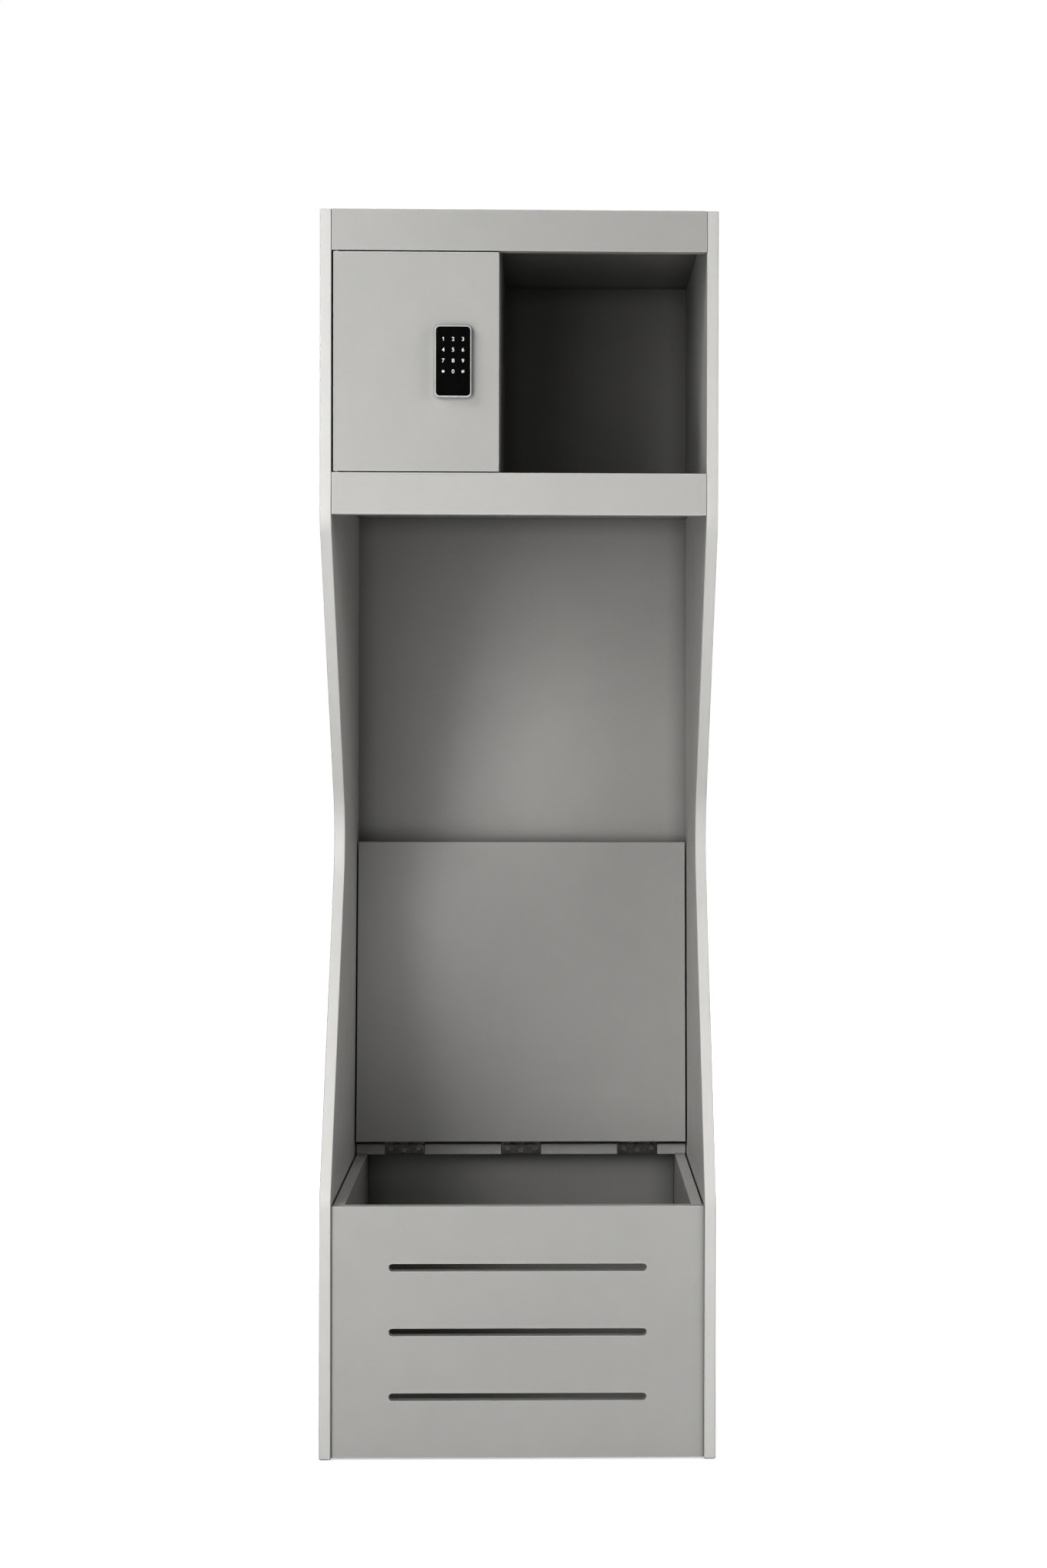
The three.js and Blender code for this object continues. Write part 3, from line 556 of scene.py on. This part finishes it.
# by rows of three keys; the blanks are keys whose signs are drawn with strokes
FONT_KEYS = " 23456789 0"


def digit_mesh(character):
    """One character of the built-in font, upright and facing -Y."""
    curve = bpy.data.curves.new("legend_curve", "FONT")
    curve.body = character
    curve.size = FONT_SIZE
    curve.align_x = "CENTER"
    curve.align_y = "CENTER"
    curve.extrude = FONT_DEPTH / 2
    curve.resolution_u = 6
    curve.offset = FONT_THICKENING
    holder = bpy.data.objects.new("legend_tmp", curve)
    scene.collection.objects.link(holder)
    bpy.context.view_layer.update()
    depsgraph = bpy.context.evaluated_depsgraph_get()
    mesh = bpy.data.meshes.new_from_object(holder.evaluated_get(depsgraph))
    bpy.data.objects.remove(holder)
    bpy.data.curves.remove(curve)
    mesh.transform(Matrix.Rotation(math.radians(90), 4, "X"))
    return mesh


def add_digit(build, character, column_x, row_z):
    """Digit brought to the common height and centred on its key."""
    mesh = digit_mesh(character)
    xs = [vertex.co.x for vertex in mesh.vertices]
    zs = [vertex.co.z for vertex in mesh.vertices]
    scale = DIGIT_HEIGHT / (max(zs) - min(zs))
    middle_x = (max(xs) + min(xs)) / 2
    middle_z = (max(zs) + min(zs)) / 2
    for vertex in mesh.vertices:
        x, y, z = vertex.co
        vertex.co = Vector((
            (x - middle_x) * scale * DIGIT_WIDENING + column_x,
            y + glass_front - DIGIT_SINK,
            (z - middle_z) * scale + row_z,
        ))
    build.from_mesh(mesh)
    bpy.data.meshes.remove(mesh)


def add_stroke(build, column, row, start, end, half_width, lift=0.0):
    """Bar as a closed prism. start and end are (x, z) from the key's centre; all in mm.

    lift brings the front forward, so that crossing bars never share a plane.
    """
    start = Vector((start[0], 0, start[1]))
    end = Vector((end[0], 0, end[1]))
    along = (end - start).normalized()
    across = Vector((-along.z, 0, along.x)) * half_width
    overrun = along * half_width * 0.5
    corners = [start - overrun + across, start - overrun - across,
               end + overrun - across, end + overrun + across]
    front, back = [
        [build.verts.new((COLUMN_X[column] + p.x * MM, y, ROW_Z[row] + p.z * MM))
         for p in corners]
        for y in (STROKE_FRONT - lift * MM, STROKE_BACK)
    ]
    build.faces.new(front)
    build.faces.new(list(reversed(back)))
    for k in range(4):
        after = (k + 1) % 4
        build.faces.new((front[after], front[k], back[k], back[after]))


def add_one(build):
    """The 1: an upright with a short flag."""
    add_stroke(build, 0, 0, (0.45, -2.78), (0.45, 2.78), half_width=0.62)
    add_stroke(build, 0, 0, (-1.15, 1.62), (0.25, 2.5), half_width=0.48, lift=0.003)


def add_star(build):
    for k in range(4):
        angle = math.pi * k / 4 + math.pi / 8
        x, z = 2.3 * math.cos(angle), 2.3 * math.sin(angle)
        add_stroke(build, 0, 3, (-x, -z), (x, z), half_width=0.46, lift=k * 0.004)


def add_hash(build):
    lean = 0.45
    for k, side in enumerate((-1, 1)):
        x = side * 0.95
        add_stroke(build, 2, 3, (x - lean, -2.3), (x + lean, 2.3),
                   half_width=0.4, lift=k * 0.003)
        z = side * 0.9
        add_stroke(build, 2, 3, (-2.2, z), (2.2, z), half_width=0.4, lift=(k + 2) * 0.003)


def keypad_legends():
    build = bmesh.new()
    for key, character in enumerate(FONT_KEYS):
        if character != " ":
            add_digit(build, character, COLUMN_X[key % 3], ROW_Z[key // 3])
    add_one(build)
    add_star(build)
    add_hash(build)
    legends = mesh_object("keypad_legends", build, "legend", rounded=False)
    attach(legends, "door")


keypad_legends()


def status_lens():
    """Low domed lens near the keypad's upper left corner, bulging towards -Y."""
    x = glass_low.x + 2.0 * MM
    z = glass_high.z - 7.3 * MM
    radius, height = 0.55 * MM, 0.18 * MM
    rings, sides = 5, 20
    build = bmesh.new()
    grid = []
    for i in range(rings):
        rise = (i / rings) * math.pi / 2
        ring = []
        for k in range(sides):
            turn = 2 * math.pi * k / sides
            reach = radius * math.cos(rise)
            ring.append(build.verts.new((
                x + reach * math.cos(turn),
                glass_front - height * math.sin(rise),
                z + reach * math.sin(turn),
            )))
        grid.append(ring)
    tip = build.verts.new((x, glass_front - height, z))
    for lower, upper in zip(grid, grid[1:]):
        for k in range(sides):
            after = (k + 1) % sides
            build.faces.new((lower[k], lower[after], upper[after], upper[k]))
    for k in range(sides):
        build.faces.new((grid[-1][k], grid[-1][(k + 1) % sides], tip))
    build.faces.new(list(reversed(grid[0])))
    lens = mesh_object("keypad_status_lens", build, "lens")
    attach(lens, "door")


status_lens()


# ------------------------------------------------------------------ fixings in the back panel
HEAD_RINGS = [0.0, 0.16, 0.3, 0.44, 0.58, 0.72, 0.86, 0.96, 1.0, 1.0]  # shares of the radius
HEAD_SIDES = 32
CROSS_REACH = 0.66  # share of the radius that the recess reaches
HEAD_SINK = 0.1  # mm that the last ring stands below the panel's face


def fixings(name, spots, radius, rise, cross_width=0.0, cross_depth=0.0):
    """Domed heads at (x, z) spots on the rear face, looking to +Y; head sizes in mm.

    A cross_width above 0 cuts a cross recess.
    """
    build = bmesh.new()
    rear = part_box("back_panel")[1].y
    last = len(HEAD_RINGS) - 1
    for x, z in spots:
        rings = []
        for i, share in enumerate(HEAD_RINGS):
            ring = []
            for k in range(1 if i == 0 else HEAD_SIDES):
                angle = 2 * math.pi * (k + 0.5) / HEAD_SIDES
                out_x = radius * share * math.cos(angle)
                out_z = radius * share * math.sin(angle)
                height = rise * (1 - 0.75 * share**3) if i < last else -HEAD_SINK
                if share < CROSS_REACH and min(abs(out_x), abs(out_z)) < cross_width / 2:
                    height -= cross_depth
                place = (x + out_x * MM, rear + height * MM, z + out_z * MM)
                ring.append(build.verts.new(place))
            rings.append(ring)
        for i in range(1, last + 1):
            inner, outer = rings[i - 1], rings[i]
            for k in range(HEAD_SIDES):
                after = (k + 1) % HEAD_SIDES
                if i == 1:
                    build.faces.new((inner[0], outer[after], outer[k]))
                else:
                    build.faces.new((inner[k], inner[after], outer[after], outer[k]))
        build.faces.new(rings[-1])
    heads = mesh_object(name, build, "zinc")
    crisp = heads.modifiers.new("crisp", "EDGE_SPLIT")
    crisp.split_angle = math.radians(38)
    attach(heads, "root")


def middle(piece, axis):
    low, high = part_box(piece)
    return (low[axis] + high[axis]) / 2


# screws into the boards in front of the panel: three rows, and a column up the divider
board_z = [middle(board, 2) for board in ("top_panel", "cabinet_floor", "hinge_rail")]
screws = [(x * MM, z) for z in board_z for x in (-240.0, -120.0, 0.0, 120.0, 240.0)]
divider_x = middle("divider_panel", 0)
screws += [(divider_x, board_z[1] + up * MM) for up in (100.0, 200.0, 300.0)]
fixings("back_panel_screws", screws, radius=3.6, rise=1.5, cross_width=0.9, cross_depth=0.9)

# pins down both side edges of the panel
pin_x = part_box("back_panel")[1].x - 2.9 * MM
pins = [(side * pin_x, (70.0 + 148.0 * k) * MM) for side in (-1, 1) for k in range(13)]
fixings("back_panel_pins", pins, radius=1.9, rise=0.5)


# ------------------------------------------------------------------ studio
FLOOR_HALF = 14.0
FLOOR_Z = -0.0008
FRONT_AIM = (0.0, -0.25, 1.15)
# name, place, aim, size, watts
LIGHTS = [
    ("left_high", (-1.8, -1.3, 2.9), FRONT_AIM, 1.0, 24.9),
    ("left_low", (-1.8, -2.4, 0.35), FRONT_AIM, 1.0, 24.6),
    ("key_middle", (-1.8, -3.6, 1.9), FRONT_AIM, 1.0, 14.2),
    ("key_high", (-1.8, -3.6, 2.9), FRONT_AIM, 1.0, 21.7),
    ("front_low", (-0.8, -2.4, 1.1), FRONT_AIM, 1.0, 9.6),
    ("front_middle", (-0.8, -2.4, 1.9), FRONT_AIM, 1.0, 3.4),
    ("right_low", (1.2, -1.3, 0.35), FRONT_AIM, 1.0, 6.9),
    ("right_high", (2.4, -1.3, 1.9), FRONT_AIM, 1.0, 25.0),
    # these stand behind the front plane, so only the top, the sides and the back see them
    ("above", (0.25, 0.75, 3.9), (0.0, 0.1, 1.9), 2.0, 42.0),
    ("right_side", (3.1, 0.75, 1.5), (0.3, 0.0, 1.0), 1.6, 26.0),
    ("rear_left", (-1.9, 3.0, 2.1), (0.0, 0.3, 1.0), 1.6, 36.0),
    ("rear_right", (2.1, 3.1, 1.3), (0.0, 0.3, 1.0), 1.6, 22.0),
]


def studio_floor():
    mesh = bpy.data.meshes.new("studio_floor")
    corners = [(x * FLOOR_HALF, y * FLOOR_HALF, FLOOR_Z)
               for x, y in ((-1, -1), (1, -1), (1, 1), (-1, 1))]
    mesh.from_pydata(corners, [], [(0, 1, 2, 3)])
    mesh.materials.append(floor_white())
    floor = bpy.data.objects.new("studio_floor", mesh)
    scene.collection.objects.link(floor)


def soft_box(name, place, aim, size, watts):
    data = bpy.data.lights.new(name, "AREA")
    data.shape = "SQUARE"
    data.size = size
    data.energy = watts
    lamp = bpy.data.objects.new("light_" + name, data)
    lamp.visible_camera = False
    # the keypad's glass would mirror the two low ones
    lamp.visible_glossy = name not in ("left_low", "right_low")
    lamp.location = place
    lamp.rotation_euler = (Vector(aim) - Vector(place)).to_track_quat("-Z", "Y").to_euler()
    scene.collection.objects.link(lamp)


def studio_world(ambient, glossy_extra):
    """White to the camera, dim to everything else, a little brighter in reflections."""
    world = bpy.data.worlds.new("studio")
    world.use_nodes = True
    scene.world = world
    nodes, links = world.node_tree.nodes, world.node_tree.links
    nodes.clear()
    output = nodes.new("ShaderNodeOutputWorld")
    path = nodes.new("ShaderNodeLightPath")
    glow = nodes.new("ShaderNodeMath")
    glow.operation = "MULTIPLY_ADD"
    glow.inputs[1].default_value = glossy_extra
    glow.inputs[2].default_value = ambient
    background = nodes.new("ShaderNodeBackground")
    background.name = "world_light"
    background.inputs[0].default_value = (1.0, 1.0, 1.0, 1.0)
    strength = nodes.new("ShaderNodeMath")
    strength.operation = "ADD"
    links.new(path.outputs["Is Glossy Ray"], glow.inputs[0])
    links.new(glow.outputs[0], strength.inputs[0])
    links.new(path.outputs["Is Camera Ray"], strength.inputs[1])
    links.new(strength.outputs[0], background.inputs[1])
    links.new(background.outputs[0], output.inputs[0])


studio_floor()
for light in LIGHTS:
    soft_box(*light)
studio_world(ambient=0.012, glossy_extra=0.30)

# ------------------------------------------------------------------ camera
SENSOR_WIDTH = 36.0  # mm, as is the focal length
FOCAL_LENGTH = 90.329188
SHIFT_X, SHIFT_Y = -0.079882955, -0.00329188  # shares of the sensor's width
side_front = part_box("left_side_panel")[0].y
EYE = Vector((41.3 * MM, side_front - 4029.2 * MM, 1093.7 * MM))
YAW, PITCH, ROLL = math.radians(1.341), math.radians(0.693), math.radians(0.128)
LEVEL_VIEW = Matrix(((1, 0, 0), (0, 0, -1), (0, 1, 0)))  # rows: right, down, ahead


def turn_z(angle):
    c, s = math.cos(angle), math.sin(angle)
    return Matrix(((c, -s, 0), (s, c, 0), (0, 0, 1)))


def turn_x(angle):
    c, s = math.cos(angle), math.sin(angle)
    return Matrix(((1, 0, 0), (0, c, -s), (0, s, c)))


def add_camera():
    data = bpy.data.cameras.new("camera")
    data.sensor_fit = "HORIZONTAL"
    data.sensor_width = SENSOR_WIDTH
    data.lens = FOCAL_LENGTH
    data.shift_x = SHIFT_X
    data.shift_y = SHIFT_Y
    data.clip_end = 100.0
    camera = bpy.data.objects.new("camera", data)
    right, down, ahead = turn_z(ROLL) @ turn_x(PITCH) @ LEVEL_VIEW @ turn_z(YAW)
    placed = Matrix.Identity(4)
    for i in range(3):
        placed[i] = (right[i], -down[i], -ahead[i], EYE[i])
    camera.matrix_world = placed
    scene.collection.objects.link(camera)
    scene.camera = camera


add_camera()

scene.view_settings.view_transform = "Standard"
scene.view_settings.look = "None"
scene.view_settings.exposure = 0.0
scene.view_settings.gamma = 0.7
